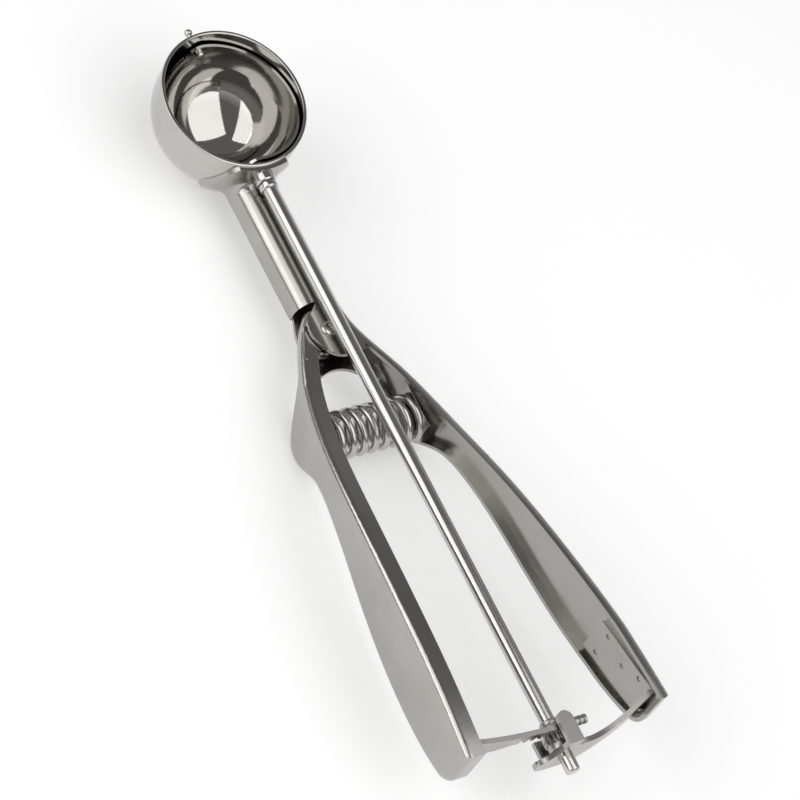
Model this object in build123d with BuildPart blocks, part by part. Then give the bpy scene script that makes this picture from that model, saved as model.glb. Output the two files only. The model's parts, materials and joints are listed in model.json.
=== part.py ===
from build123d import *

import os
from math import asin, atan, cos, degrees, pi, radians, sin, sqrt, tan

# Lever ice cream scoop: bowl, sweeping scraper, rod with pinion, and two squeeze handles.
#
# Frame: +X towards the bowl's tip, +Y to the moving handle, +Z up out of the bowl's mouth.
# The origin lies below the middle of the whole scoop, on the level of the bowl's lowest point.
# Lengths are in millimetres. A "reach" is a distance from the bowl's centre towards the tail.

# ---- Driving dimensions: bowl, scraper and rod --------------------------------------
bowl_radius = 21.0  # outside
bowl_wall = 1.0
rim_height = 5.5  # rim above the rod axis, at the bowl's middle
rim_tilt = 6.0  # degrees; the rim rises towards the tip
rod_radius = 2.0
rod_reach = 206.8
blade_width = 7.6
blade_thickness = 0.8
blade_gap = 0.35  # between the blade and the bowl
blade_rest_angle = 3.0  # degrees below level where the blade parks
tip_pin_radius = 0.7
tip_head_radius = 1.15
tip_shank = 5.2  # from the bowl's wall to the middle of the ball head
running_gap = 0.05  # radial clearance of everything that turns
rivet_head_radius = 2.9
rivet_head_height = 0.9
bushing_reach = 24.8
bushing_radius = 2.9
front_collar_radius = 2.6
front_collar_length = 2.0

# ---- Driving dimensions: sheet, neck and handles ------------------------------------
sheet = 1.2
neck_half_width = 6.3
neck_front = 3.4  # neck's closed front face below the rod axis
neck_back = 11.0  # its open rear edges below the rod axis
neck_corner = 2.8  # on the fixed handle's side
neck_round = 5.0  # on the moving handle's side
neck_closed = 12.0  # how far the rear plate runs up into the neck
neck_end_reach = 60.8
neck_to_hinge = 8.7
# Edge of the lip on the bowl, seen along the rod: (distance from the rod plane, height).
lip_edge = [(0.0, 2.9), (7.4, 2.9), (8.8, 1.0), (11.0, -4.0), (12.3, -8.5), (9.8, -14.0), (0.0, -16.8)]
lip_blend = 2.4
lever_edge = 2.0  # rounding of the moving handle along its web
lever_flange = 5.4  # web outside to the flanges' free edges
fixed_flange = 3.8
handle_short = 8.0  # how far the handles end ahead of the rod's tail
lever_tail_side = 33.0  # from the rod plane to the outside of each handle's end
fixed_tail_side = 30.8
lever_tail_corner = 4.5  # in front; both tails are rounder behind
fixed_tail_corner = 7.0
tail_back_corner = 6.0
lobe_depth = 20.6  # lowest point of the spring lobe below the rod axis

# ---- Driving dimensions: hinge and spring -------------------------------------------
hinge_side = 1.6  # hinge axis to the moving handle's side of the rod
hinge_pin_radius = 1.25
hinge_head_radius = 2.2
hinge_head_height = 0.9
# Round end of the front plate over the hinge: (distance behind the hinge, y).
plate_round = [(-5.7, 4.2), (-2.5, 6.8), (2.5, 6.6), (6.7, 4.0), (8.5, 0.5)]
leaf_radius = 4.6  # round ends of the moving handle's leaves
hinge_to_arch = 18.5  # the arch cut in the rear plate's end
arch_side = 1.5
arch_radius = 9.5
slide_gap = 0.35  # between the stacked flanges at the hinge
hinge_to_spring = 26.5
spring_drop = 12.5  # spring axis below the rod axis
spring_radius = 5.75  # to the middle of the wire
wire_radius = 1.0
spring_turns = 8.5
seat_side = 13.0
seat_boss_radius = 4.2
seat_boss_height = 4.0
lever_seat_face = 15.5  # from the rod plane to the seats' faces
fixed_seat_face = 14.2

# ---- Driving dimensions: rack and pinion --------------------------------------------
gear_module = 0.7
pinion_teeth = 9
pressure_angle = 25.0
rack_addendum = 0.75  # in modules
pinion_addendum = 0.90
root_clearance = 0.17
backlash = 0.06  # taken off each flank
rack_ahead = 10.7  # from the rod's tail to the middle of the rack strip
strip = 1.4
rack_back = 2.1  # solid metal over the rack's teeth
rack_teeth_right = 1
rack_teeth_left = 5
pinion_length = 4.6
collar_radius = 2.6
collar_length = 1.6
washer_radius = 3.4
washer_thickness = 1.95
axial_gap = 0.15
bracket_front = 4.2
bracket_bow = 7.0  # how far its welded end lies ahead of the bracket's middle
tab_width = 4.4
tab_gap = 0.5  # between the rack's back and the bracket's front tab
tab_length = 8.8
arm_seat = 2.1  # from the outside of a handle's end to where its arm stops in the plate
arm_front = 6.8  # front and rear edges of the rack arm where it meets its plate
arm_back = 4.4
tongue_side = 7.5  # how far the bracket's tongue passes the rod
rear_tab_half = 3.8
rear_tab_length = 7.0
weld_radius = 0.75
weld_depth = 0.35
stop_radius = 1.25
stop_length = 3.8
stop_z = 5.0
stop_groove = 0.28
tenon_height = 1.0

# ---- Derived ------------------------------------------------------------------------
tip_reach = bowl_radius + tip_shank + tip_head_radius
bowl_x = (rod_reach - tip_reach) / 2
hinge_reach = neck_end_reach + neck_to_hinge
arch_reach = hinge_reach + hinge_to_arch
spring_reach = hinge_reach + hinge_to_spring
handle_end_reach = rod_reach - handle_short
rack_reach = rod_reach - rack_ahead
rear_collar_reach = rack_reach - pinion_length / 2
bracket_reach = rack_reach + pinion_length / 2 + washer_thickness + axial_gap + strip / 2
lever_arm_side = lever_tail_side - arm_seat
fixed_arm_side = fixed_tail_side - arm_seat
rod_z = bowl_radius
bowl_inner = bowl_radius - bowl_wall
blade_outer = bowl_inner - blade_gap
blade_inner = blade_outer - blade_thickness
pinion_pitch = gear_module * pinion_teeth / 2
pinion_tip = pinion_pitch + pinion_addendum * gear_module
pinion_root = pinion_pitch - rack_addendum * gear_module - root_clearance
rack_tip_z = pinion_pitch - rack_addendum * gear_module
rack_root_z = pinion_tip + root_clearance
rack_back_z = rack_root_z + rack_back
rack_radius = rack_reach - hinge_reach
tooth_pitch = pi * gear_module


def at(reach):
    """Frame X of a point given by its reach behind the bowl's centre."""
    return bowl_x - reach


def level(height):
    """Frame Z of a height over the rod axis."""
    return rod_z + height


def side_plane(reach):
    """Plane across the scoop: its x is frame Y and its y is frame Z, facing +X."""
    return Plane(origin=(at(reach), 0, rod_z), x_dir=(0, 1, 0), z_dir=(1, 0, 0))


def handle(share):
    """Reach of a point that far along the handles: 0 at the hinge, 1 at their ends."""
    return hinge_reach + share * (handle_end_reach - hinge_reach)


# Where each handle's sheet runs: (reach, distance from the rod plane) of the web's outside.
lever_web = [
    (hinge_reach - 7.0, 4.9),
    (hinge_reach - 3.5, 7.4),
    (hinge_reach + 12.5, 15.2),
    (handle(0.313), 22.9),
    (handle(0.623), 28.4),
    (handle_end_reach, lever_tail_side),
]
fixed_web = [
    (neck_end_reach, neck_half_width),
    (hinge_reach, 7.7),
    (hinge_reach + 14.5, 14.6),
    (handle(0.286), 20.7),
    (handle(0.568), 25.8),
    (handle(0.816), 29.4),
    (handle_end_reach, fixed_tail_side),
]
# Behind the hinge: (reach, height over the rod axis) of a handle's front and back edges.
front_line = [(handle(0.236), -2.0), (handle(0.429), 3.3), (handle(0.661), 8.0), (handle_end_reach, 10.4)]
back_line = [
    (spring_reach - 9.5, -16.0),
    (spring_reach - 2.5, -lobe_depth),
    (spring_reach + 5.0, -17.8),
    (spring_reach + 12.0, -12.2),
    (spring_reach + 22.0, -9.8),
    (handle(0.584), -10.8),
    (handle(0.762), -11.4),
    (handle(0.893), -9.4),
    (handle_end_reach, -5.0),
]
lever_start_slope = 0.7
front_level_reach = hinge_reach + 14.5  # up to here a handle's front edge runs level
back_level_reach = hinge_reach + 9.5
plate_front = -neck_front  # front face of the fixed handle at the hinge
leaf_front = plate_front - sheet - slide_gap  # the moving handle lies between the fixed plates
leaf_back = -neck_back + sheet + slide_gap
far = 60.0  # longer than any handle is wide or deep
rack_depth = 5.4  # more than the bent strips curve along the rod


def web_band(side, web, near_depth, far_depth):
    """Tall solid between two depths in from the outside of a handle's web."""
    line = [(at(r), side * (w - near_depth)) for r, w in web]
    shift = side * (far_depth - near_depth)
    start_way = (-1, 0 if web is fixed_web else side * lever_start_slope)
    end_way = (line[-1][0] - line[-2][0], line[-1][1] - line[-2][1])
    with BuildPart() as band:
        with BuildSketch():
            with BuildLine():
                near_side = Spline(line, tangents=[start_way, end_way])
                far_side = Spline([(x, y - shift) for x, y in line], tangents=[start_way, end_way])
                Line(near_side @ 0, far_side @ 0)
                Line(near_side @ 1, far_side @ 1)
            make_face()
        extrude(amount=far)
    return band.part


def handle_bar(side, web, front, back, edge_radius, tail_corner, inset, free_side):
    """Solid bar along one handle, shrunk by an inset from its web, edges and tail.

    side is +1 or -1 for the side of the rod; front and back are the heights at the hinge;
    free_side is how far the bar reaches in from the web.
    """
    start_reach = web[0][0]
    front_points = [(at(r), level(h) - inset) for r, h in [(front_level_reach, front)] + front_line]
    back_points = [(at(r), level(h) + inset) for r, h in [(back_level_reach, back)] + back_line]
    with BuildPart() as bar:
        add(web_band(side, web, inset, free_side))
        with BuildSketch(Plane(origin=(0, far, 0), x_dir=(1, 0, 0), z_dir=(0, -1, 0))) as profile:
            with BuildLine():
                top = Spline(front_points)
                low = Spline(back_points)
                Line(top @ 1, low @ 1)
                Polyline(
                    top @ 0,
                    (at(start_reach), level(front) - inset),
                    (at(start_reach), level(back) + inset),
                    low @ 0,
                )
            make_face()
            if inset:
                with Locations((at(handle_end_reach), rod_z)):
                    Rectangle(2 * inset, far, mode=Mode.SUBTRACT)
            tail = profile.vertices().group_by(Axis.X)[0].sort_by(Axis.Y)
            fillet(tail[0], tail_back_corner - inset)
            fillet(tail[-1], tail_corner - inset)
        extrude(amount=2 * far, mode=Mode.INTERSECT)
        # The two largest faces are the web and the free side; the start edge stays sharp.
        web_face = bar.faces().sort_by(SortBy.AREA)[-2:].sort_by(Axis.Y)[-1 if side > 0 else 0]
        fillet(web_face.edges().sort_by(Axis.X)[:-1], edge_radius - inset)
    return bar.part


lever = (1, lever_web, leaf_front, leaf_back, lever_edge, lever_tail_corner)
lever_bar = handle_bar(*lever, 0, lever_flange)
lever_void = handle_bar(*lever, sheet, far / 2)
fixed = (-1, fixed_web, plate_front, -neck_back, neck_corner, fixed_tail_corner)
fixed_bar = handle_bar(*fixed, 0, fixed_flange)
fixed_void = handle_bar(*fixed, sheet, far / 2)
hinge_at = (at(hinge_reach), hinge_side)


def at_height(height):
    """Level plane at a height over the rod axis."""
    return Plane.XY.offset(level(height))


def by_hinge(*points):
    """Level sketch points from (distance behind the hinge, y) pairs."""
    return [(at(hinge_reach + distance), y) for distance, y in points]


def collared_ball(radius):
    """Half ball about the bowl's centre with a straight collar above it."""
    with BuildPart() as ball:
        with BuildSketch(Plane.XZ):
            with BuildLine():
                top = rod_z + 3 * rim_height
                arc = JernArc((bowl_x, rod_z - radius), (1, 0), radius, 90)
                Polyline(arc @ 1, (bowl_x + radius, top), (bowl_x, top), arc @ 0)
            make_face()
        revolve(axis=Axis((bowl_x, 0, 0), (0, 0, 1)))
    return ball.part


bowl_outside = collared_ball(bowl_radius)

# ---- bowl: a half ball with a straight collar, cut by the tilted rim -----------------
with BuildPart() as bowl:
    add(bowl_outside)
    add(collared_ball(bowl_inner), mode=Mode.SUBTRACT)
    lean = radians(rim_tilt)
    rim = Plane(origin=(bowl_x, 0, rod_z + rim_height), z_dir=(-sin(lean), 0, cos(lean)))
    split(bisect_by=rim, keep=Keep.BOTTOM)
    with BuildSketch(side_plane(0)):
        Circle(rod_radius + running_gap)
    extrude(amount=-2 * bowl_radius, mode=Mode.SUBTRACT)
    with BuildSketch(side_plane(0)):
        Circle(tip_pin_radius + running_gap)
    extrude(amount=2 * bowl_radius, mode=Mode.SUBTRACT)
    fillet(bowl.faces().sort_by(Axis.Z)[-1].edges(), bowl_wall * 0.3)

# ---- scraper_blade: a band of a smaller ball from pole to pole, with round ears ------
with BuildPart() as scraper_blade:
    turn = radians(blade_rest_angle)
    blade_plane = Plane(origin=(bowl_x, 0, rod_z), x_dir=(1, 0, 0), z_dir=(0, -sin(turn), cos(turn)))
    with BuildSketch(blade_plane.offset(-blade_width / 2)):
        with Locations((0, -bowl_radius / 2)):
            Rectangle(2 * bowl_radius, bowl_radius)
    extrude(amount=blade_width)
    with BuildSketch(side_plane(bowl_radius)):
        Circle(blade_width / 2)
    extrude(amount=2 * bowl_radius)
    with BuildSketch(blade_plane):
        with BuildLine():
            blade_arc = CenterArc((0, 0), blade_outer, -180, 180)
            inner_arc = CenterArc((0, 0), blade_inner, -180, 180)
            Line(blade_arc @ 0, inner_arc @ 0)
            Line(blade_arc @ 1, inner_arc @ 1)
        make_face()
    revolve(axis=Axis((bowl_x, 0, rod_z), (1, 0, 0)), mode=Mode.INTERSECT)
    with BuildSketch(side_plane(0)):
        Circle(rod_radius)
    extrude(amount=-bowl_radius, mode=Mode.SUBTRACT)
    with BuildSketch(side_plane(0)):
        Circle(tip_pin_radius)
    extrude(amount=bowl_radius, mode=Mode.SUBTRACT)

# ---- tip_pin: rivet head inside the blade, shank through the bowl, ball outside ------
with BuildPart() as tip_pin:
    tip_rivet_radius = 2 * tip_pin_radius
    tip_rivet_x = sqrt(blade_inner**2 - tip_rivet_radius**2)
    with BuildSketch(Plane.XY.offset(rod_z)):
        with BuildLine():
            ball_start = tip_reach - tip_head_radius - sqrt(tip_head_radius**2 - tip_pin_radius**2)
            ball_top = (bowl_x + ball_start, tip_pin_radius)
            ball = ThreePointArc(
                ball_top,
                (bowl_x + tip_reach - tip_head_radius, tip_head_radius),
                (bowl_x + tip_reach, 0),
            )
            Polyline(
                ball @ 1,
                (bowl_x + tip_rivet_x - rivet_head_height, 0),
                (bowl_x + tip_rivet_x - rivet_head_height, tip_rivet_radius),
                (bowl_x + tip_rivet_x, tip_rivet_radius),
                (bowl_x + tip_rivet_x, tip_pin_radius),
                ball_top,
            )
        make_face()
    revolve(axis=Axis((bowl_x, 0, rod_z), (1, 0, 0)))

# ---- scraper_rod: plain rod, riveted inside the blade's rear ear ---------------------
with BuildPart() as scraper_rod:
    rod_head_reach = sqrt(blade_inner**2 - rivet_head_radius**2)
    with BuildSketch(side_plane(rod_reach)):
        Circle(rod_radius)
    extrude(amount=rod_reach - rod_head_reach)
    chamfer(scraper_rod.faces().sort_by(Axis.X)[0].edges(), rod_radius / 5)
    with BuildSketch(side_plane(rod_head_reach)):
        Circle(rivet_head_radius)
    extrude(amount=rivet_head_height)
    fillet(scraper_rod.faces().sort_by(Axis.X)[-1].edges(), rivet_head_height * 0.6)

# ---- front_collar: ring pressed on the rod behind the bushing ------------------------
with BuildPart() as front_collar:
    with BuildSketch(side_plane(bushing_reach + axial_gap)):
        Circle(front_collar_radius)
        Circle(rod_radius, mode=Mode.SUBTRACT)
    extrude(amount=-front_collar_length)
    chamfer(front_collar.faces().sort_by(Axis.X)[0].edges().sort_by(Edge.length)[-1], 0.3)

# ---- rear_collar: ring pressed on the rod ahead of the pinion ------------------------
with BuildPart() as rear_collar:
    with BuildSketch(side_plane(rear_collar_reach)):
        Circle(collar_radius)
        Circle(rod_radius, mode=Mode.SUBTRACT)
    extrude(amount=collar_length)
    ends = rear_collar.faces().filter_by(GeomType.PLANE)
    chamfer([face.edges().sort_by(Edge.length)[-1] for face in ends], 0.3)

# ---- pinion: involute teeth, pressed on the rod --------------------------------------
with BuildPart() as pinion:
    base_radius = pinion_pitch * cos(radians(pressure_angle))
    pitch_roll = tan(radians(pressure_angle))
    pitch_involute = pitch_roll - radians(pressure_angle)
    half_tooth = pi / 2 / pinion_teeth - backlash / pinion_pitch + pitch_involute
    tip_roll = sqrt((pinion_tip / base_radius) ** 2 - 1)
    with BuildSketch(side_plane(rack_reach + pinion_length / 2)):
        Circle(pinion_root)
        for tooth in range(pinion_teeth):
            middle = pi / 2 + (tooth + 0.5) * 2 * pi / pinion_teeth
            flank = [(base_radius, half_tooth)]
            for step in range(1, 7):
                roll = tip_roll * step / 6
                spread = half_tooth - (roll - atan(roll))
                flank.append((base_radius * sqrt(1 + roll**2), spread))
            left = [(r * cos(middle + a), r * sin(middle + a)) for r, a in flank]
            right = [(r * cos(middle - a), r * sin(middle - a)) for r, a in flank]
            foot = pinion_root * 0.95
            left_foot = (foot * cos(middle + half_tooth), foot * sin(middle + half_tooth))
            right_foot = (foot * cos(middle - half_tooth), foot * sin(middle - half_tooth))
            with BuildLine():
                Line(left_foot, left[0])
                Spline(left)
                Line(left[-1], right[-1])
                Spline(right)
                Line(right[0], right_foot)
                Line(right_foot, left_foot)
            make_face()
        Circle(rod_radius, mode=Mode.SUBTRACT)
    extrude(amount=pinion_length)

# ---- thrust_washer: seated on the pinion, just clear of the bracket -------------------
with BuildPart() as thrust_washer:
    washer_start = rack_reach + pinion_length / 2
    with BuildSketch(side_plane(washer_start)):
        Circle(washer_radius)
        Circle(rod_radius, mode=Mode.SUBTRACT)
    extrude(amount=-washer_thickness)

# ---- neck_handle: lip on the bowl, neck closed in front, and the fixed handle --------
with BuildPart() as neck_handle:
    add(collared_ball(bowl_radius + sheet))
    with BuildSketch(side_plane(0)):
        with BuildLine():
            right_half = Spline(lip_edge[1:-1])
            left_half = Spline([(-y, z) for y, z in lip_edge[1:-1]])
            Line(right_half @ 0, left_half @ 0)
            ThreePointArc(right_half @ 1, lip_edge[-1], left_half @ 1)
        make_face()
    extrude(amount=-2 * bowl_radius, mode=Mode.INTERSECT)
    with BuildSketch(side_plane(neck_end_reach)) as section:
        with Locations((0, -(neck_back + neck_front) / 2)):
            Rectangle(2 * neck_half_width, neck_back - neck_front)
        fillet(section.vertices().group_by(Axis.Y)[-1].sort_by(Axis.X)[0], neck_corner)
        fillet(section.vertices().group_by(Axis.Y)[-1].sort_by(Axis.X)[-1], neck_round)
    extrude(amount=neck_end_reach - bowl_radius / 2)
    add(bowl_outside, mode=Mode.SUBTRACT)
    # Blend the neck's front and sides into the lip; its rear edges stay as they are.
    bowl_centre = Vector(bowl_x, 0, rod_z)
    junction = []
    for edge in neck_handle.edges():
        middle = edge @ 0.5 - bowl_centre
        on_lip = abs(middle.length - bowl_radius - sheet) < 0.01
        if on_lip and abs(middle.Y) < neck_half_width + 0.1 and -neck_back + 0.1 < middle.Z < 0:
            junction.append(edge)
    fillet(junction, lip_blend)
    with BuildSketch(side_plane(neck_end_reach)) as section:
        with Locations((0, -(neck_back + neck_front + sheet) / 2)):
            Rectangle(2 * (neck_half_width - sheet), neck_back - neck_front - sheet)
        fillet(section.vertices().group_by(Axis.Y)[-1].sort_by(Axis.X)[0], neck_corner - sheet)
        fillet(section.vertices().group_by(Axis.Y)[-1].sort_by(Axis.X)[-1], neck_round - sheet)
    extrude(amount=neck_end_reach - bowl_radius / 2, mode=Mode.SUBTRACT)
    with BuildSketch(side_plane(0)):
        Circle(rod_radius + running_gap)
    extrude(amount=-2 * bowl_radius, mode=Mode.SUBTRACT)
    add(fixed_bar - fixed_void)
    # Front plate: a round end over the hinge, running into the handle's front flange.
    with BuildSketch(at_height(plate_front - sheet)):
        with BuildLine():
            round_end = Spline(by_hinge(*plate_round))
            Polyline(
                round_end @ 1,
                *by_hinge((8.3, -6.4), (5.5, -6.6), (0.5, -4.0), (-neck_to_hinge, -2.6)),
                (at(neck_end_reach), neck_half_width - neck_round - 0.1),
                round_end @ 0,
            )
        make_face()
    extrude(amount=sheet)
    # Rear plate: the neck's back carried on under the moving handle, with an arched end.
    with BuildSketch(at_height(-neck_back)):
        with BuildLine():
            start = -neck_to_hinge - neck_closed
            wall = neck_half_width - sheet / 2
            in_neck = by_hinge((-neck_to_hinge, -wall), (start, -wall), (start, wall), (-neck_to_hinge, wall))
            Polyline(in_neck + by_hinge((-3.5, 7.5), (9.0, 9.5), (14.5, -10.2), (0.5, -4.0)), close=True)
        make_face()
        with Locations((at(arch_reach), arch_side)):
            Circle(arch_radius, mode=Mode.SUBTRACT)
    extrude(amount=sheet)
    with BuildSketch(at_height(-neck_back)):
        with Locations(hinge_at):
            Circle(hinge_pin_radius)
    extrude(amount=neck_back, mode=Mode.SUBTRACT)

# ---- rod_bushing: short tube on the lip that guides the rod --------------------------
with BuildPart() as rod_bushing:
    with BuildSketch(side_plane(bushing_reach)):
        Circle(bushing_radius)
        Circle(rod_radius + running_gap, mode=Mode.SUBTRACT)
    extrude(amount=bushing_reach - bowl_radius + 2 * sheet)
    chamfer(rod_bushing.faces().sort_by(Axis.X)[0].edges().sort_by(Edge.length)[-1], 0.3)
    add(collared_ball(bowl_radius + sheet), mode=Mode.SUBTRACT)
    add(neck_handle.part, mode=Mode.SUBTRACT)

# ---- squeeze_handle: the moving handle, with two round leaves about the hinge --------
with BuildPart() as squeeze_handle:
    add(lever_bar - lever_void)
    for bottom in (leaf_front - sheet, leaf_back):
        with BuildSketch(at_height(bottom)):
            with Locations(hinge_at):
                Circle(leaf_radius)
            with BuildLine():
                leaf = by_hinge((-3.0, 4.0), (-3.0, 7.2), (6.5, 11.6), (6.5, 7.0), (2.9, 4.0))
                Polyline(leaf, close=True)
            make_face()
        extrude(amount=sheet)
    with BuildSketch(at_height(leaf_back)):
        with Locations(hinge_at):
            Circle(hinge_pin_radius + running_gap)
    extrude(amount=leaf_front - leaf_back, mode=Mode.SUBTRACT)

# ---- hinge_pin: rivet through both plates and both leaves ----------------------------
with BuildPart() as hinge_pin:
    with BuildSketch(at_height(-neck_back)):
        with Locations(hinge_at):
            Circle(hinge_pin_radius)
    extrude(amount=neck_back + plate_front)
    with BuildSketch(at_height(plate_front)):
        with Locations(hinge_at):
            Circle(hinge_head_radius)
    extrude(amount=hinge_head_height)
    with BuildSketch(at_height(-neck_back)):
        with Locations(hinge_at):
            Circle(hinge_head_radius)
    extrude(amount=-hinge_head_height)
    heads = hinge_pin.faces().sort_by(Axis.Z)
    fillet(heads[0].edges() + heads[-1].edges(), hinge_head_height * 0.6)


def spring_seat(side, seat_face, void):
    """Wedge that fills the space from the web to a face square to the spring, with a boss."""
    face_at = side * (seat_face - seat_boss_height)
    face_centre = (at(spring_reach), face_at, level(-spring_drop))
    axis_plane = Plane(origin=face_centre, x_dir=(1, 0, 0), z_dir=(0, side, 0))
    with BuildPart() as seat:
        with BuildSketch(axis_plane.offset(seat_boss_height)):
            Rectangle(seat_side, seat_side)
        extrude(amount=lever_flange + sheet)
        add(void, mode=Mode.INTERSECT)
        with BuildSketch(axis_plane):
            Circle(seat_boss_radius)
        extrude(amount=seat_boss_height)
    return seat.part


# ---- spring_seat_right and spring_seat_left ------------------------------------------
spring_seat_right = spring_seat(-1, fixed_seat_face, fixed_void)
spring_seat_left = spring_seat(1, lever_seat_face, lever_void)

# ---- return_spring: round wire between the two seats, with ground ends ---------------
with BuildPart() as return_spring:
    spring_start = (at(spring_reach), -fixed_seat_face, level(-spring_drop))
    coil_length = fixed_seat_face + lever_seat_face
    with BuildLine():
        coil = Helix(
            pitch=coil_length / spring_turns,
            height=coil_length,
            radius=spring_radius,
            center=spring_start,
            direction=(0, 1, 0),
        )
    with BuildSketch(Plane(origin=coil @ 0, z_dir=coil % 0)):
        Circle(wire_radius)
    sweep()
    with BuildSketch(Plane(origin=spring_start, x_dir=(1, 0, 0), z_dir=(0, 1, 0))):
        Circle(spring_radius + 2 * wire_radius)
    extrude(amount=coil_length, mode=Mode.INTERSECT)


def arm_plate(side, web, void, corners, welds):
    """Plate lying on the inside of a web, cut to an outline and dimpled by spot welds."""
    across = Plane(origin=(0, far, 0), x_dir=(1, 0, 0), z_dir=(0, -1, 0))
    with BuildPart() as dimples:
        with BuildSketch(across):
            with Locations([(at(handle_end_reach - d), level(h)) for d, h in welds]):
                Circle(weld_radius)
        extrude(amount=2 * far)
        add(web_band(side, web, 0, sheet + strip - weld_depth), mode=Mode.SUBTRACT)
    with BuildPart() as plate:
        add(void)
        add(web_band(side, web, sheet + strip, far), mode=Mode.SUBTRACT)
        add(dimples.part, mode=Mode.SUBTRACT)
        with BuildSketch(across):
            with BuildLine():
                Polyline([(at(handle_end_reach - d), level(h)) for d, h in corners], close=True)
            make_face()
        extrude(amount=2 * far, mode=Mode.INTERSECT)
    return plate.part


# (distance ahead of the handles' ends, height over the rod axis)
plate_corners = [(26.6, -8.4), (26.6, 4.1), (4.0, 7.0), (4.0, -4.6), (9.3, -5.8)]
plate_welds = [(22.6, -5.5), (22.6, 2.6), (14.6, 1.2), (8.8, 4.6)]
lever_plate = arm_plate(1, lever_web, lever_void, plate_corners, plate_welds)
fixed_plate = arm_plate(-1, fixed_web, fixed_void, plate_corners, plate_welds)

# ---- rack_arm: strip on edge, bent along an arc about the hinge, with radial teeth ---
with BuildPart() as rack_arm:
    teeth_start = -(rack_teeth_right + 0.5) * tooth_pitch
    teeth_end = (rack_teeth_left + 0.5) * tooth_pitch
    with BuildSketch(side_plane(rack_reach + rack_depth)):
        with BuildLine():
            lower = Spline(
                [
                    (teeth_end + 1.2, rack_tip_z),
                    (lever_arm_side * 0.55, arm_back * 0.36),
                    (lever_arm_side * 0.78, -arm_back * 0.11),
                    (lever_arm_side, -arm_back),
                ],
                tangents=[(1, 0), (1, -0.7)],
            )
            Polyline(
                lower @ 1,
                (lever_arm_side, arm_front),
                (lever_arm_side * 0.78, rack_back_z),
                (teeth_start, rack_back_z),
                (teeth_start, rack_tip_z),
                lower @ 0,
            )
        make_face()
        with Locations((teeth_start - stop_length / 2, stop_z)):
            Rectangle(stop_length, tenon_height)
    extrude(amount=2 * rack_depth)
    with BuildSketch(Plane.XY):
        with Locations(hinge_at):
            Circle(rack_radius + strip / 2)
            Circle(rack_radius - strip / 2, mode=Mode.SUBTRACT)
    extrude(amount=far, mode=Mode.INTERSECT)
    rack_zero = degrees(asin(hinge_side / rack_radius))
    for tooth in range(-rack_teeth_right, rack_teeth_left + 2):
        swing = radians(rack_zero - degrees((tooth - 0.5) * tooth_pitch / rack_radius))
        radial = (-cos(swing), -sin(swing), 0)
        along = (-sin(swing), cos(swing), 0)
        origin = Vector(*hinge_at, rod_z) + Vector(*radial) * (rack_radius - strip)
        root_half = tooth_pitch / 4 + backlash - (rack_root_z - pinion_pitch) * tan(radians(pressure_angle))
        open_z = rack_tip_z - root_clearance
        open_half = tooth_pitch / 4 + backlash + (pinion_pitch - open_z) * tan(radians(pressure_angle))
        with BuildSketch(Plane(origin=origin, x_dir=along, z_dir=radial)):
            with BuildLine():
                flip = 1 if Vector(*radial).cross(Vector(*along)).Z > 0 else -1
                Polyline(
                    (-root_half, flip * rack_root_z),
                    (root_half, flip * rack_root_z),
                    (open_half, flip * open_z),
                    (-open_half, flip * open_z),
                    close=True,
                )
            make_face()
        extrude(amount=2 * strip, mode=Mode.SUBTRACT)
    add(lever_plate)

# ---- rack_stop: grooved ferrule on the rack's end ------------------------------------
with BuildPart() as rack_stop:
    stop_x = at(hinge_reach) - sqrt(rack_radius**2 - (hinge_side - teeth_start + stop_length / 2) ** 2)
    with BuildSketch(Plane.XY.offset(level(stop_z))):
        with BuildLine():
            ends = [teeth_start - stop_length * share for share in (0.0, 0.25, 0.4, 0.6, 0.75, 1.0)]
            deep = stop_radius - stop_groove
            Polyline(
                (stop_x, ends[0]),
                (stop_x + stop_radius, ends[0]),
                (stop_x + stop_radius, ends[1]),
                (stop_x + deep, ends[1]),
                (stop_x + deep, ends[2]),
                (stop_x + stop_radius, ends[2]),
                (stop_x + stop_radius, ends[3]),
                (stop_x + deep, ends[3]),
                (stop_x + deep, ends[4]),
                (stop_x + stop_radius, ends[4]),
                (stop_x + stop_radius, ends[5]),
                (stop_x, ends[5]),
                close=True,
            )
        make_face()
    revolve(axis=Axis((stop_x, 0, level(stop_z)), (0, 1, 0)))
    add(rack_arm.part, mode=Mode.SUBTRACT)

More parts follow.
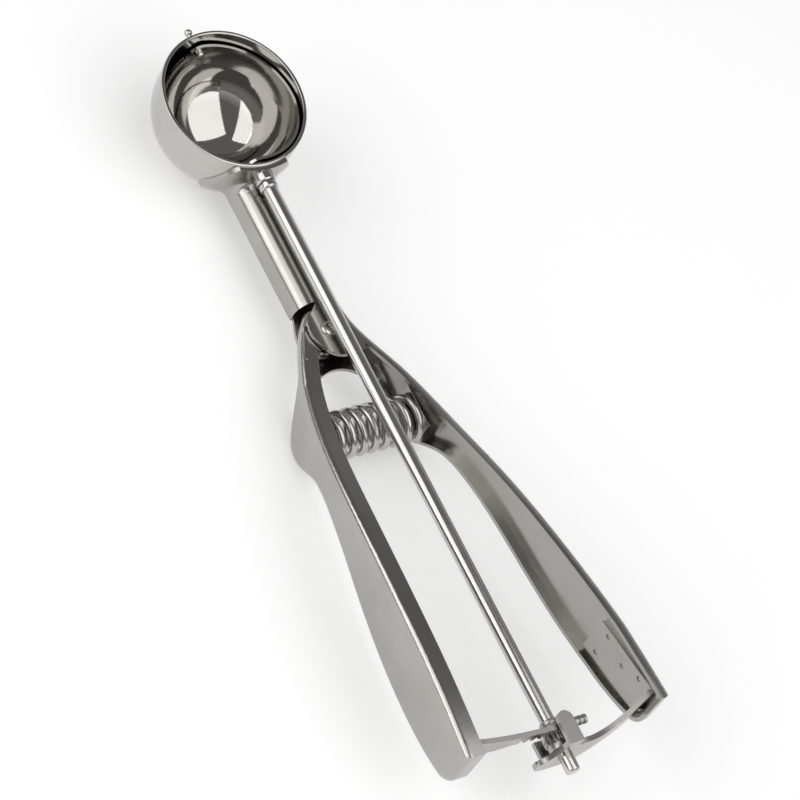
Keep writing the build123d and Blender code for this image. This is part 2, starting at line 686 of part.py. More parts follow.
# ---- rod_bracket: fixed strip that carries the rod's tail and cages the rack ---------
with BuildPart() as rod_bracket:
    with BuildSketch(Plane.XY):
        with BuildLine():
            bend = [(1.0, 1.0), (0.76, 0.58), (0.54, 0.3), (0.31, 0.085), (0.1, 0.0)]
            middle_x = [at(bracket_reach - bow * bracket_bow) for side, bow in bend] + [at(bracket_reach)]
            middle_y = [-side * fixed_arm_side for side, bow in bend] + [tongue_side]
            near = Spline([(x + strip / 2, y) for x, y in zip(middle_x, middle_y)])
            away = Spline([(x - strip / 2, y) for x, y in zip(middle_x, middle_y)])
            Line(near @ 0, away @ 0)
            Line(near @ 1, away @ 1)
        make_face()
    extrude(amount=far)
    tab_z = rack_back_z + tab_gap
    rear_z = -(pinion_tip + tab_gap + strip)
    with BuildSketch(side_plane(rod_reach)) as face:
        with BuildLine():
            front = [(1.0, 1.62), (0.8, 1.1), (0.56, 0.79), (0.19, 1.0)]
            edge = Spline([(-side * fixed_arm_side, share * bracket_front) for side, share in front])
            Polyline(
                edge @ 1,
                (-tab_width / 2, bracket_front),
                (-tab_width / 2, tab_z + strip),
                (tab_width / 2, tab_z + strip),
                (tab_width / 2, bracket_front),
            )
            side_edge = Spline(
                [(tab_width / 2, bracket_front), (4.0, 1.0), (tongue_side, -2.0)],
                tangents=[(0.6, -1), (1, -0.2)],
            )
            back = [(0.24, 1.0), (0.56, 0.67), (0.8, 0.86), (1.0, 1.1)]
            under = Spline([(-side * fixed_arm_side, -share * bracket_front) for side, share in back])
            Polyline(
                side_edge @ 1,
                (tongue_side, -5.2),
                (rear_tab_half, rear_z),
                (-rear_tab_half, rear_z),
                under @ 0,
            )
            Line(under @ 1, edge @ 0)
        make_face()
        fillet(face.vertices().group_by(Axis.X)[-1], 1.5)
    extrude(amount=far, mode=Mode.INTERSECT)
    tab_back = bracket_reach + strip / 2
    with BuildSketch(at_height(tab_z)):
        with BuildLine():
            tab_nose = at(tab_back - tab_length + tab_width / 2)
            half = tab_width / 2
            nose = ThreePointArc((tab_nose, half), (tab_nose + half, 0), (tab_nose, -half))
            Polyline(nose @ 1, (at(tab_back), -half), (at(tab_back), half), nose @ 0)
        make_face()
    extrude(amount=strip)
    with BuildSketch(at_height(rear_z)):
        with Locations((at(tab_back - rear_tab_length / 2), 0)):
            Rectangle(rear_tab_length, 2 * rear_tab_half)
    extrude(amount=strip)
    with BuildSketch(side_plane(rod_reach)):
        Circle(rod_radius + running_gap)
    extrude(amount=2 * rack_depth, mode=Mode.SUBTRACT)
    add(fixed_plate)

# ---- exports -------------------------------------------------------------------------
os.makedirs("parts", exist_ok=True)
built = {
    "bowl": bowl.part,
    "scraper_blade": scraper_blade.part,
    "tip_pin": tip_pin.part,
    "scraper_rod": scraper_rod.part,
    "rod_bushing": rod_bushing.part,
    "front_collar": front_collar.part,
    "rear_collar": rear_collar.part,
    "pinion": pinion.part,
    "thrust_washer": thrust_washer.part,
    "neck_handle": neck_handle.part,
    "squeeze_handle": squeeze_handle.part,
    "hinge_pin": hinge_pin.part,
    "spring_seat_right": spring_seat_right,
    "spring_seat_left": spring_seat_left,
    "return_spring": return_spring.part,
    "rack_arm": rack_arm.part,
    "rack_stop": rack_stop.part,
    "rod_bracket": rod_bracket.part,
}
for name, part in built.items():
    part.label = name
    export_step(part, "parts/" + name + ".step")
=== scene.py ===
import json
import math

import bmesh
import bpy
from bpy.props import FloatProperty, FloatVectorProperty, IntProperty, PointerProperty
from bpy.types import Operator, Panel, PropertyGroup
from mathutils import Matrix, Vector


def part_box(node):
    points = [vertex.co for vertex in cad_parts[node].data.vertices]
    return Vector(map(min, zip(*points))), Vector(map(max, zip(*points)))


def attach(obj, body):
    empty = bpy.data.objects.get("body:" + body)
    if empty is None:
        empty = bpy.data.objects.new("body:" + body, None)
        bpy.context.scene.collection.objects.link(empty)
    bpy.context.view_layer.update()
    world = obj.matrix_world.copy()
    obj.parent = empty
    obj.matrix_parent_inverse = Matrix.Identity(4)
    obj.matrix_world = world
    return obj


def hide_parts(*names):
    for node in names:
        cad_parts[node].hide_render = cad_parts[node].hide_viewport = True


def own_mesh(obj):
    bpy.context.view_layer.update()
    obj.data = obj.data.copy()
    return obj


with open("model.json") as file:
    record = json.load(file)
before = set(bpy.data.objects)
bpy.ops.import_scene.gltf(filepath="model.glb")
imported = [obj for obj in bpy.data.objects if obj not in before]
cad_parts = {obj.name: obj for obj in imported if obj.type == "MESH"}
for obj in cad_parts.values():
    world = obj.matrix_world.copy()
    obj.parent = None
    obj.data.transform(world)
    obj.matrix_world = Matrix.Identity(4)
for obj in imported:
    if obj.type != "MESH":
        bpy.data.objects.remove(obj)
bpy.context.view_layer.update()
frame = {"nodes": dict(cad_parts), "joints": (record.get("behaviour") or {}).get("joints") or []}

bl_info = {
    "name": "Lever Ice Cream Scoop",
    "version": (1, 0, 0),
    "blender": (4, 5, 0),
    "location": "View3D > Sidebar > Scoop",
    "description": "Dresses a lever ice cream scoop in turned, folded and polished steel pieces",
    "category": "Object",
}

# The frame: +X towards the bowl's tip, +Y to the moving handle, +Z up out of the bowl's mouth.
MM = 0.001
FIXED, LEVER, SCRAPER = "fixed_frame", "lever", "scraper"
JOINTS = {joint["name"]: joint for joint in frame["joints"]}
ROD_Z = JOINTS["scraper_turn"]["pos_m"][2]
ROD_RADIUS = 2.0 * MM
BOWL_LOW, BOWL_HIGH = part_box("bowl")
BOWL_CENTRE = Vector(((BOWL_LOW.x + BOWL_HIGH.x) / 2, 0, ROD_Z))
BOWL_RADIUS = (BOWL_HIGH.x - BOWL_LOW.x) / 2
ALONG_X = Vector((1, 0, 0))
ALONG_Y = Vector((0, 1, 0))
ALONG_Z = Vector((0, 0, 1))
SEAM = 0.001 * MM  # points closer than this are one
FLAT = math.radians(0.4)  # faces that meet at less than this are one flat face
AREA_PULL = 60  # how strongly large faces set the shading beside them
RIM_ROUND = 0.3  # rounding of the bowl's rim, as a share of its wall
ROD_EDGE, RING_EDGE, RIVET_EDGE = 0.06 * MM, 0.05 * MM, 0.08 * MM  # broken edges
SEAT_EDGE, TOOTH_EDGE = 0.08 * MM, 0.05 * MM
PIN_STEPS, RIVET_STEPS, STOP_STEPS = 32, 64, 48  # faces round the small turned pieces


# ---- Sizes and colours a user may change ---------------------------------------------
def colour_property(name, description, default):
    """Property that holds one red, green and blue colour."""
    return FloatVectorProperty(
        name=name,
        description=description,
        subtype="COLOR",
        size=3,
        default=default,
        min=0.0,
        max=1.0,
    )


class ScoopSizes(PropertyGroup):
    """Lengths of the dressed pieces."""

    edge_round: FloatProperty(
        name="Edge rounding",
        description="Rounding of cut sheet edges",
        default=0.12 * MM,
        min=0.0,
        unit="LENGTH",
    )
    bowl_wall: FloatProperty(
        name="Bowl wall",
        description="Thickness of the bowl's wall",
        default=1.0 * MM,
        min=0.4 * MM,
        unit="LENGTH",
    )
    rim_height: FloatProperty(
        name="Rim height",
        description="Height of the bowl's rim over the rod axis, at the bowl's middle",
        default=5.5 * MM,
        unit="LENGTH",
    )
    rim_tilt: FloatProperty(
        name="Rim tilt",
        description="Rise of the rim towards the tip",
        default=math.radians(6.0),
        unit="ROTATION",
    )
    wire_radius: FloatProperty(
        name="Spring wire radius",
        description="Radius of the return spring's wire",
        default=1.0 * MM,
        min=0.3 * MM,
        unit="LENGTH",
    )
    spring_turns: FloatProperty(
        name="Spring turns",
        description="Turns of the return spring between its seats",
        default=8.5,
        min=3.0,
    )
    round_steps: IntProperty(
        name="Round steps",
        description="Faces round a turned piece",
        default=96,
        min=24,
    )


class ScoopFinish(PropertyGroup):
    """Colours and polish of the steels, and the floor."""

    bowl_colour: colour_property(
        "Bowl", "Colour of the mirror polished bowl and its scraper", (0.52, 0.507, 0.484)
    )
    sheet_colour: colour_property(
        "Sheet", "Colour of the polished neck, handles and spring seats", (0.43, 0.419, 0.398)
    )
    rod_colour: colour_property(
        "Rod", "Colour of the rod, tip pin, bushing, front collar and rivet", (0.58, 0.568, 0.544)
    )
    spring_colour: colour_property(
        "Spring", "Colour of the drawn spring wire", (0.54, 0.528, 0.502)
    )
    machined_colour: colour_property(
        "Machined steel", "Colour of the pinion, rack, bracket and rear rings", (0.44, 0.429, 0.408)
    )
    floor_colour: colour_property("Floor", "Colour of the floor", (0.80, 0.80, 0.80))


# ---- Shader groups -------------------------------------------------------------------
def node_group(name, inputs, outputs):
    """New shader group with named sockets; returns it with its input and output nodes."""
    group = bpy.data.node_groups.new(name, "ShaderNodeTree")
    for label, kind, default in inputs:
        socket = group.interface.new_socket(label, in_out="INPUT", socket_type=kind)
        if default is not None:
            socket.default_value = default
    for label, kind in outputs:
        group.interface.new_socket(label, in_out="OUTPUT", socket_type=kind)
    return group, group.nodes.new("NodeGroupInput"), group.nodes.new("NodeGroupOutput")


def maths(tree, operation, first, second=None, clamp=False):
    """Math node; each operand is a socket or a number."""
    node = tree.nodes.new("ShaderNodeMath")
    node.operation = operation
    node.use_clamp = clamp
    for slot, value in enumerate((first, second)):
        if value is None:
            continue
        if isinstance(value, (int, float)):
            node.inputs[slot].default_value = value
        else:
            tree.links.new(value, node.inputs[slot])
    return node.outputs[0]


def noise(tree, vector, scale, detail=3.0, roughness=0.5):
    """Noise texture value at a scale in cycles per metre."""
    node = tree.nodes.new("ShaderNodeTexNoise")
    node.inputs["Detail"].default_value = detail
    node.inputs["Roughness"].default_value = roughness
    tree.links.new(vector, node.inputs["Vector"])
    if isinstance(scale, (int, float)):
        node.inputs["Scale"].default_value = scale
    else:
        tree.links.new(scale, node.inputs["Scale"])
    return node.outputs["Fac"]


def spread(tree, value, low, high, to_low=0.0, to_high=1.0):
    """Map Range node, clamped."""
    node = tree.nodes.new("ShaderNodeMapRange")
    node.inputs["From Min"].default_value = low
    node.inputs["From Max"].default_value = high
    node.inputs["To Min"].default_value = to_low
    node.inputs["To Max"].default_value = to_high
    tree.links.new(value, node.inputs["Value"])
    return node.outputs["Result"]


def make_grain_group():
    """Fine parallel lines left by polishing belts or turning: noise stretched along one way."""
    group, given, out = node_group(
        "Polishing Grain",
        [
            ("Vector", "NodeSocketVector", None),
            ("Squeeze", "NodeSocketVector", (60.0, 4000.0, 4000.0)),
            ("Amount", "NodeSocketFloat", 0.5),
        ],
        [("Grain", "NodeSocketFloat")],
    )
    scaled = group.nodes.new("ShaderNodeVectorMath")
    scaled.operation = "MULTIPLY"
    group.links.new(given.outputs["Vector"], scaled.inputs[0])
    group.links.new(given.outputs["Squeeze"], scaled.inputs[1])
    fine = noise(group, scaled.outputs[0], scale=1.0, detail=4.0, roughness=0.65)
    centred = maths(group, "SUBTRACT", fine, 0.5)
    strength = maths(group, "MULTIPLY", centred, given.outputs["Amount"])
    group.links.new(strength, out.inputs["Grain"])
    return group


def make_marks_group():
    """Wear of a hand tool: broad smudges from handling and a few hair scratches."""
    group, given, out = node_group(
        "Handling Marks",
        [
            ("Vector", "NodeSocketVector", None),
            ("Smudge Scale", "NodeSocketFloat", 55.0),
            ("Scratch Scale", "NodeSocketFloat", 170.0),
        ],
        [("Smudge", "NodeSocketFloat"), ("Scratch", "NodeSocketFloat")],
    )
    where = given.outputs["Vector"]
    broad = noise(group, where, given.outputs["Smudge Scale"], detail=5.0, roughness=0.6)
    group.links.new(spread(group, broad, low=0.42, high=0.68), out.inputs["Smudge"])
    # Scratches are the edges of cells drawn out long in X, left only in patches.
    cells = group.nodes.new("ShaderNodeTexVoronoi")
    cells.feature = "DISTANCE_TO_EDGE"
    drawn_out = group.nodes.new("ShaderNodeVectorMath")
    drawn_out.operation = "MULTIPLY"
    drawn_out.inputs[1].default_value = (0.06, 1.0, 1.0)
    group.links.new(where, drawn_out.inputs[0])
    group.links.new(drawn_out.outputs[0], cells.inputs["Vector"])
    group.links.new(given.outputs["Scratch Scale"], cells.inputs["Scale"])
    hair = spread(group, cells.outputs["Distance"], low=0.0, high=0.012, to_low=1.0, to_high=0.0)
    patches = spread(group, noise(group, where, scale=31.0), low=0.52, high=0.62)
    group.links.new(maths(group, "MULTIPLY", hair, patches), out.inputs["Scratch"])
    return group


GROUPS = {}


def shared_group(name):
    """The named shader group, built once."""
    makers = {"grain": make_grain_group, "marks": make_marks_group}
    if name not in GROUPS:
        GROUPS[name] = makers[name]()
    return GROUPS[name]


# ---- Steels --------------------------------------------------------------------------
BUMP_STEP = 0.01 * MM  # height of a bump of 1
RING_SCALE, WAVE_SCALE = 420.0, 70.0  # of the spinning rings and of the slow waves
SMUDGE_DULLING, GRAIN_DULLING = 0.07, 0.12  # added to the roughness
SMUDGE_DIRT, SCRATCH_DIRT = 0.5, 0.4  # shares of the dirty tint
DIRTY_TINT = (0.84, 0.83, 0.81)
LENGTHWISE = (60.0, 5200.0, 5200.0)  # grain runs along X
CROSSWISE = (5200.0, 90.0, 90.0)  # turning lines run round X
EVEN = (2600.0, 2600.0, 2600.0)  # grain without a direction


def steel(name, colour, polish, squeeze, grain_depth, wave_depth=0.0, rings_about=None):
    """Steel material. polish is the base roughness; squeeze sets the grain's direction.

    Depths are in bump steps. rings_about puts fine spinning rings about an upright axis
    there, as on a spun bowl.
    """
    material = bpy.data.materials.new(name)
    material.use_nodes = True
    tree = material.node_tree
    shader = tree.nodes["Principled BSDF"]
    shader.inputs["Metallic"].default_value = 1.0
    where = tree.nodes.new("ShaderNodeTexCoord").outputs["Object"]
    grain = tree.nodes.new("ShaderNodeGroup")
    grain.node_tree = shared_group("grain")
    grain.inputs["Squeeze"].default_value = squeeze
    grain.inputs["Amount"].default_value = 1.0
    tree.links.new(where, grain.inputs["Vector"])
    marks = tree.nodes.new("ShaderNodeGroup")
    marks.node_tree = shared_group("marks")
    tree.links.new(where, marks.inputs["Vector"])
    height = maths(tree, "MULTIPLY", grain.outputs["Grain"], grain_depth)
    if rings_about is not None:
        centred = tree.nodes.new("ShaderNodeMapping")
        centred.inputs["Location"].default_value = -rings_about
        tree.links.new(where, centred.inputs["Vector"])
        rings = tree.nodes.new("ShaderNodeTexWave")
        rings.wave_type = "RINGS"
        rings.rings_direction = "Z"
        rings.inputs["Scale"].default_value = RING_SCALE
        rings.inputs["Distortion"].default_value = 0.6
        rings.inputs["Detail"].default_value = 2.0
        tree.links.new(centred.outputs["Vector"], rings.inputs["Vector"])
        ridges = maths(tree, "MULTIPLY", rings.outputs["Fac"], grain_depth)
        height = maths(tree, "ADD", height, ridges)
    if wave_depth:
        sway = noise(tree, where, WAVE_SCALE, detail=1.0)
        height = maths(tree, "ADD", height, maths(tree, "MULTIPLY", sway, wave_depth))
    grooves = maths(tree, "MULTIPLY", marks.outputs["Scratch"], grain_depth)
    height = maths(tree, "SUBTRACT", height, grooves)
    bump = tree.nodes.new("ShaderNodeBump")
    bump.inputs["Strength"].default_value = 1.0
    bump.inputs["Distance"].default_value = BUMP_STEP
    tree.links.new(height, bump.inputs["Height"])
    tree.links.new(bump.outputs["Normal"], shader.inputs["Normal"])
    # Smudges dull the polish; the grain changes it from line to line.
    dulled = maths(tree, "MULTIPLY", marks.outputs["Smudge"], SMUDGE_DULLING)
    lined = maths(tree, "MULTIPLY", grain.outputs["Grain"], GRAIN_DULLING)
    rough = maths(tree, "ADD", maths(tree, "ADD", dulled, lined), polish, clamp=True)
    tree.links.new(rough, shader.inputs["Roughness"])
    tone = tree.nodes.new("ShaderNodeMix")
    tone.data_type = "RGBA"
    tone.inputs["A"].default_value = (*colour, 1.0)
    dirty = [channel * shade for channel, shade in zip(colour, DIRTY_TINT)]
    tone.inputs["B"].default_value = (*dirty, 1.0)
    smeared = maths(tree, "MULTIPLY", marks.outputs["Smudge"], SMUDGE_DIRT)
    scratched = maths(tree, "MULTIPLY", marks.outputs["Scratch"], SCRATCH_DIRT)
    dirt = maths(tree, "ADD", smeared, scratched, clamp=True)
    tree.links.new(dirt, tone.inputs["Factor"])
    tree.links.new(tone.outputs["Result"], shader.inputs["Base Color"])
    return material


FINISHES = {}


def finish(slot):
    """The material of a slot, built once."""
    look = bpy.context.scene.scoop_finish
    recipes = {
        "bowl_steel": {
            "colour": look.bowl_colour,
            "polish": 0.05,
            "squeeze": EVEN,
            "grain_depth": 0.10,
            "wave_depth": 0.5,
            "rings_about": BOWL_CENTRE,
        },
        "blade_steel": {
            "colour": look.bowl_colour,
            "polish": 0.12,
            "squeeze": LENGTHWISE,
            "grain_depth": 0.12,
            "wave_depth": 0.5,
        },
        "sheet_steel": {
            "colour": look.sheet_colour,
            "polish": 0.17,
            "squeeze": LENGTHWISE,
            "grain_depth": 0.6,
            "wave_depth": 1.2,
        },
        "rod_steel": {
            "colour": look.rod_colour,
            "polish": 0.12,
            "squeeze": CROSSWISE,
            "grain_depth": 0.15,
        },
        "spring_steel": {
            "colour": look.spring_colour,
            "polish": 0.22,
            "squeeze": EVEN,
            "grain_depth": 0.4,
        },
        "gear_steel": {
            "colour": look.machined_colour,
            "polish": 0.28,
            "squeeze": CROSSWISE,
            "grain_depth": 0.8,
        },
        "bracket_steel": {
            "colour": look.machined_colour,
            "polish": 0.26,
            "squeeze": EVEN,
            "grain_depth": 0.1,
            "wave_depth": 0.8,
        },
    }
    if slot not in FINISHES:
        FINISHES[slot] = steel(slot.replace("_", " "), **recipes[slot])
    return FINISHES[slot]


# ---- Mesh helpers --------------------------------------------------------------------
def place(bm, name, body, slot, nodes, sharp_angle=35.0):
    """Makes a finished piece of a bmesh, riding on its body and standing for its nodes.

    Edges sharper than sharp_angle, in degrees, stay sharp in the shading.
    """
    mesh = bpy.data.meshes.new(name)
    for face in bm.faces:
        face.smooth = True
    bm.to_mesh(mesh)
    bm.free()
    mesh.set_sharp_from_angle(angle=math.radians(sharp_angle))
    mesh.materials.append(finish(slot))
    piece = bpy.data.objects.new(name, mesh)
    bpy.context.scene.collection.objects.link(piece)
    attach(piece, body)
    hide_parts(*nodes)
    weigh = piece.modifiers.new("Weighted normals", "WEIGHTED_NORMAL")
    weigh.keep_sharp = True
    weigh.weight = AREA_PULL
    return piece


def round_edges(bm, width, segments=2, angle=30.0):
    """Rounds every edge sharper than the angle, in degrees."""
    least = math.radians(angle)
    sharp = [edge for edge in bm.edges if edge.is_manifold and edge.calc_face_angle(0.0) > least]
    bmesh.ops.bevel(
        bm,
        geom=sharp,
        offset=width,
        offset_type="OFFSET",
        segments=segments,
        profile=0.5,
        affect="EDGES",
        clamp_overlap=True,
        material=-1,
    )


def turned(profile, centre, axis, steps):
    """Solid of revolution; profile is (distance along the axis from the centre, radius).

    A profile that starts off the axis is closed to a ring.
    """
    bm = bmesh.new()
    side = axis.orthogonal().normalized()
    points = [bm.verts.new(axis * along + side * radius) for along, radius in profile]
    lines = [bm.edges.new(pair) for pair in zip(points, points[1:])]
    if profile[0][1] > 0:
        lines.append(bm.edges.new((points[-1], points[0])))
    bmesh.ops.spin(
        bm,
        geom=points + lines,
        cent=Vector(),
        axis=axis,
        angle=2 * math.pi,
        steps=steps,
        use_merge=True,
    )
    bmesh.ops.remove_doubles(bm, verts=bm.verts, dist=SEAM)
    bmesh.ops.recalc_face_normals(bm, faces=bm.faces)
    bmesh.ops.translate(bm, verts=bm.verts, vec=centre)
    return bm


def solid_copy(node):
    """A node's own solid as one closed bmesh, with flat faces joined."""
    bm = bmesh.new()
    bm.from_mesh(frame["nodes"][node].data)
    bmesh.ops.remove_doubles(bm, verts=bm.verts, dist=SEAM)
    bmesh.ops.dissolve_limit(bm, angle_limit=FLAT, verts=bm.verts, edges=bm.edges)
    return bm


def ring(node, bore, edge):
    """Turned ring about the rod, filling a node's box."""
    low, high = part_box(node)
    centre = Vector((low.x, 0, ROD_Z))
    length, outside = high.x - low.x, (high.y - low.y) / 2
    profile = [
        (0, bore),
        (0, outside - edge),
        (edge, outside),
        (length - edge, outside),
        (length, outside - edge),
        (length, bore),
    ]
    return turned(profile, centre, ALONG_X, bpy.context.scene.scoop_sizes.round_steps)


# ---- Pieces --------------------------------------------------------------------------
class BuildBowl(Operator):
    """Spin the bowl's two walls, then tilt the rim and round it"""

    bl_idname = "scoop.build_bowl"
    bl_label = "Bowl"

    def execute(self, context):
        sizes = context.scene.scoop_sizes
        inner_radius = BOWL_RADIUS - sizes.bowl_wall
        arc_steps = 48
        angles = [math.pi / 2 * step / arc_steps for step in range(1, arc_steps)]

        def half_ball(radius):
            """Wall from the bowl's lowest point up to its widest ring."""
            arc = [(-math.cos(angle) * radius, math.sin(angle) * radius) for angle in angles]
            return [(-radius, 0), *arc, (0, radius)]

        rim = [(sizes.rim_height, BOWL_RADIUS), (sizes.rim_height, inner_radius)]
        profile = half_ball(BOWL_RADIUS) + rim + half_ball(inner_radius)[::-1]
        bm = turned(profile, Vector(), ALONG_Z, 2 * sizes.round_steps)
        for vert in bm.verts:
            if vert.co.z > sizes.rim_height / 2:
                vert.co.z += vert.co.x * math.tan(sizes.rim_tilt)
        round_edges(bm, sizes.bowl_wall * RIM_ROUND, segments=4, angle=50.0)
        bmesh.ops.translate(bm, verts=bm.verts, vec=BOWL_CENTRE)
        place(bm, "bowl_spun", FIXED, "bowl_steel", ["bowl"], sharp_angle=60.0)
        return {"FINISHED"}


class BuildBlade(Operator):
    """Dress the scraper blade"""

    bl_idname = "scoop.build_blade"
    bl_label = "Scraper blade"

    def execute(self, context):
        bm = solid_copy("scraper_blade")
        place(bm, "blade_band", SCRAPER, "blade_steel", ["scraper_blade"])
        return {"FINISHED"}


class BuildRod(Operator):
    """Turn the rod with its riveted head, the tip pin, the collars and the washer"""

    bl_idname = "scoop.build_rod"
    bl_label = "Rod, collars and tip pin"

    def execute(self, context):
        sizes = context.scene.scoop_sizes
        steps = sizes.round_steps
        low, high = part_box("scraper_rod")
        length = high.x - low.x
        head_radius, head_height = (high.y - low.y) / 2, 0.9 * MM
        tail_edge = ROD_RADIUS / 5
        dome_angles = (0.35, 0.75, 1.15, math.pi / 2)
        dome = [
            (
                length - head_height * (1 - math.sin(angle)),
                head_radius - head_height * (1 - math.cos(angle)),
            )
            for angle in dome_angles
        ]
        profile = [
            (0, 0),
            (0, ROD_RADIUS - tail_edge),
            (tail_edge, ROD_RADIUS),
            (length - head_height, ROD_RADIUS),
            (length - head_height, head_radius),
            *dome,
            (length, 0),
        ]
        bm = turned(profile, Vector((low.x, 0, ROD_Z)), ALONG_X, steps)
        round_edges(bm, ROD_EDGE)
        place(bm, "rod_turned", SCRAPER, "rod_steel", ["scraper_rod"])

        low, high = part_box("tip_pin")
        head_radius, head_height, head_edge = (high.y - low.y) / 2, 0.9 * MM, 0.25 * MM
        shank, ball, ball_steps = 0.7 * MM, 1.15 * MM, 14
        ball_x = high.x - low.x - ball
        start = math.asin(shank / ball)
        angles = [start + step * (math.pi - start) / ball_steps for step in range(ball_steps)]
        curve = [(ball_x - ball * math.cos(angle), ball * math.sin(angle)) for angle in angles]
        profile = [
            (0, 0),
            (0, head_radius - head_edge),
            (head_edge, head_radius),
            (head_height, head_radius),
            (head_height, shank),
            *curve,
            (ball_x + ball, 0),
        ]
        bm = turned(profile, Vector((low.x, 0, ROD_Z)), ALONG_X, PIN_STEPS)
        place(bm, "tip_pin_turned", SCRAPER, "rod_steel", ["tip_pin"])

        rings = (
            ("front_collar", "rod_steel", 0.3 * MM),
            ("rear_collar", "gear_steel", 0.3 * MM),
            ("thrust_washer", "gear_steel", 0.15 * MM),
        )
        for node, slot, edge in rings:
            bm = ring(node, ROD_RADIUS, edge)
            round_edges(bm, RING_EDGE)
            place(bm, node + "_turned", SCRAPER, slot, [node])
        return {"FINISHED"}


class BuildBushing(Operator):
    """Dress the bushing that guides the rod at the lip"""

    bl_idname = "scoop.build_bushing"
    bl_label = "Bushing"

    def execute(self, context):
        bm = solid_copy("rod_bushing")
        place(bm, "bushing_ring", FIXED, "rod_steel", ["rod_bushing"])
        return {"FINISHED"}


class BuildHandles(Operator):
    """Dress the folded neck with the fixed handle, and the moving handle"""

    bl_idname = "scoop.build_handles"
    bl_label = "Neck and handles"

    def execute(self, context):
        sizes = context.scene.scoop_sizes
        for node, body in (("neck_handle", FIXED), ("squeeze_handle", LEVER)):
            bm = solid_copy(node)
            round_edges(bm, sizes.edge_round)
            place(bm, node + "_folded", body, "sheet_steel", [node])
        return {"FINISHED"}


class BuildHinge(Operator):
    """Turn the hinge rivet with its rolled front head"""

    bl_idname = "scoop.build_hinge"
    bl_label = "Hinge rivet"

    def execute(self, context):
        low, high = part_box("hinge_pin")
        head, shank, cap = (high.x - low.x) / 2, 1.25 * MM, 0.9 * MM
        length = high.z - low.z
        # The heads' outlines, in shares of the cap's height and the head's radius.
        rear_head = ((0, 0), (0, 0.62), (0.35, 0.9), (0.75, 1), (1, 1))
        front_head = ((1, 1), (0.7, 1), (0.3, 0.9), (0, 0.66), (0.12, 0.5), (0.42, 0.3), (0.5, 0))
        profile = [
            *[(cap * deep, head * wide) for deep, wide in rear_head],
            (cap, shank),
            (length - cap, shank),
            *[(length - cap * deep, head * wide) for deep, wide in front_head],
        ]
        centre = Vector(((low.x + high.x) / 2, (low.y + high.y) / 2, low.z))
        bm = turned(profile, centre, ALONG_Z, RIVET_STEPS)
        round_edges(bm, RIVET_EDGE)
        place(bm, "hinge_rivet", FIXED, "rod_steel", ["hinge_pin"])
        return {"FINISHED"}


class BuildSpring(Operator):
    """Coil the return spring between its seats"""

    bl_idname = "scoop.build_spring"
    bl_label = "Return spring"

    def execute(self, context):
        sizes = context.scene.scoop_sizes
        low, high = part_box("return_spring")
        centre = Vector(((low.x + high.x) / 2, low.y, (low.z + high.z) / 2))
        coil_radius = (high.x - low.x) / 2 - sizes.wire_radius
        length = high.y - low.y
        turn_steps, wire_sides = 56, 18
        pitch = length / sizes.spring_turns
        turns = sizes.spring_turns + 1
        bm = bmesh.new()
        wire = bmesh.ops.create_circle(
            bm, cap_ends=False, radius=sizes.wire_radius, segments=wire_sides
        )
        start = centre + ALONG_X * coil_radius - ALONG_Y * pitch / 2
        bmesh.ops.translate(bm, verts=wire["verts"], vec=start)
        steps = int(turns * turn_steps)
        bmesh.ops.spin(
            bm,
            geom=bm.verts[:] + bm.edges[:],
            cent=centre,
            axis=ALONG_Y,
            dvec=ALONG_Y * (pitch / turn_steps),
            angle=2 * math.pi * steps / turn_steps,
            steps=steps,
        )
        # The coil runs half a turn past each seat and is ground flat there.
        for end, way in ((low.y, -ALONG_Y), (high.y, ALONG_Y)):
            bmesh.ops.bisect_plane(
                bm,
                geom=bm.verts[:] + bm.edges[:] + bm.faces[:],
                plane_co=ALONG_Y * end,
                plane_no=way,
                clear_outer=True,
            )
        rims = [edge for edge in bm.edges if edge.is_boundary]
        bmesh.ops.holes_fill(bm, edges=rims, sides=0)
        bmesh.ops.recalc_face_normals(bm, faces=bm.faces)
        nodes = ["return_spring"]
        spring = place(bm, "return_coil", FIXED, "spring_steel", nodes, sharp_angle=50.0)
        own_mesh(spring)
        return {"FINISHED"}


class BuildSeats(Operator):
    """Dress the two spring seats inside the handles"""

    bl_idname = "scoop.build_seats"
    bl_label = "Spring seats"

    def execute(self, context):
        for node, body in (("spring_seat_right", FIXED), ("spring_seat_left", LEVER)):
            bm = solid_copy(node)
            round_edges(bm, SEAT_EDGE)
            place(bm, node + "_pressed", body, "sheet_steel", [node])
        return {"FINISHED"}


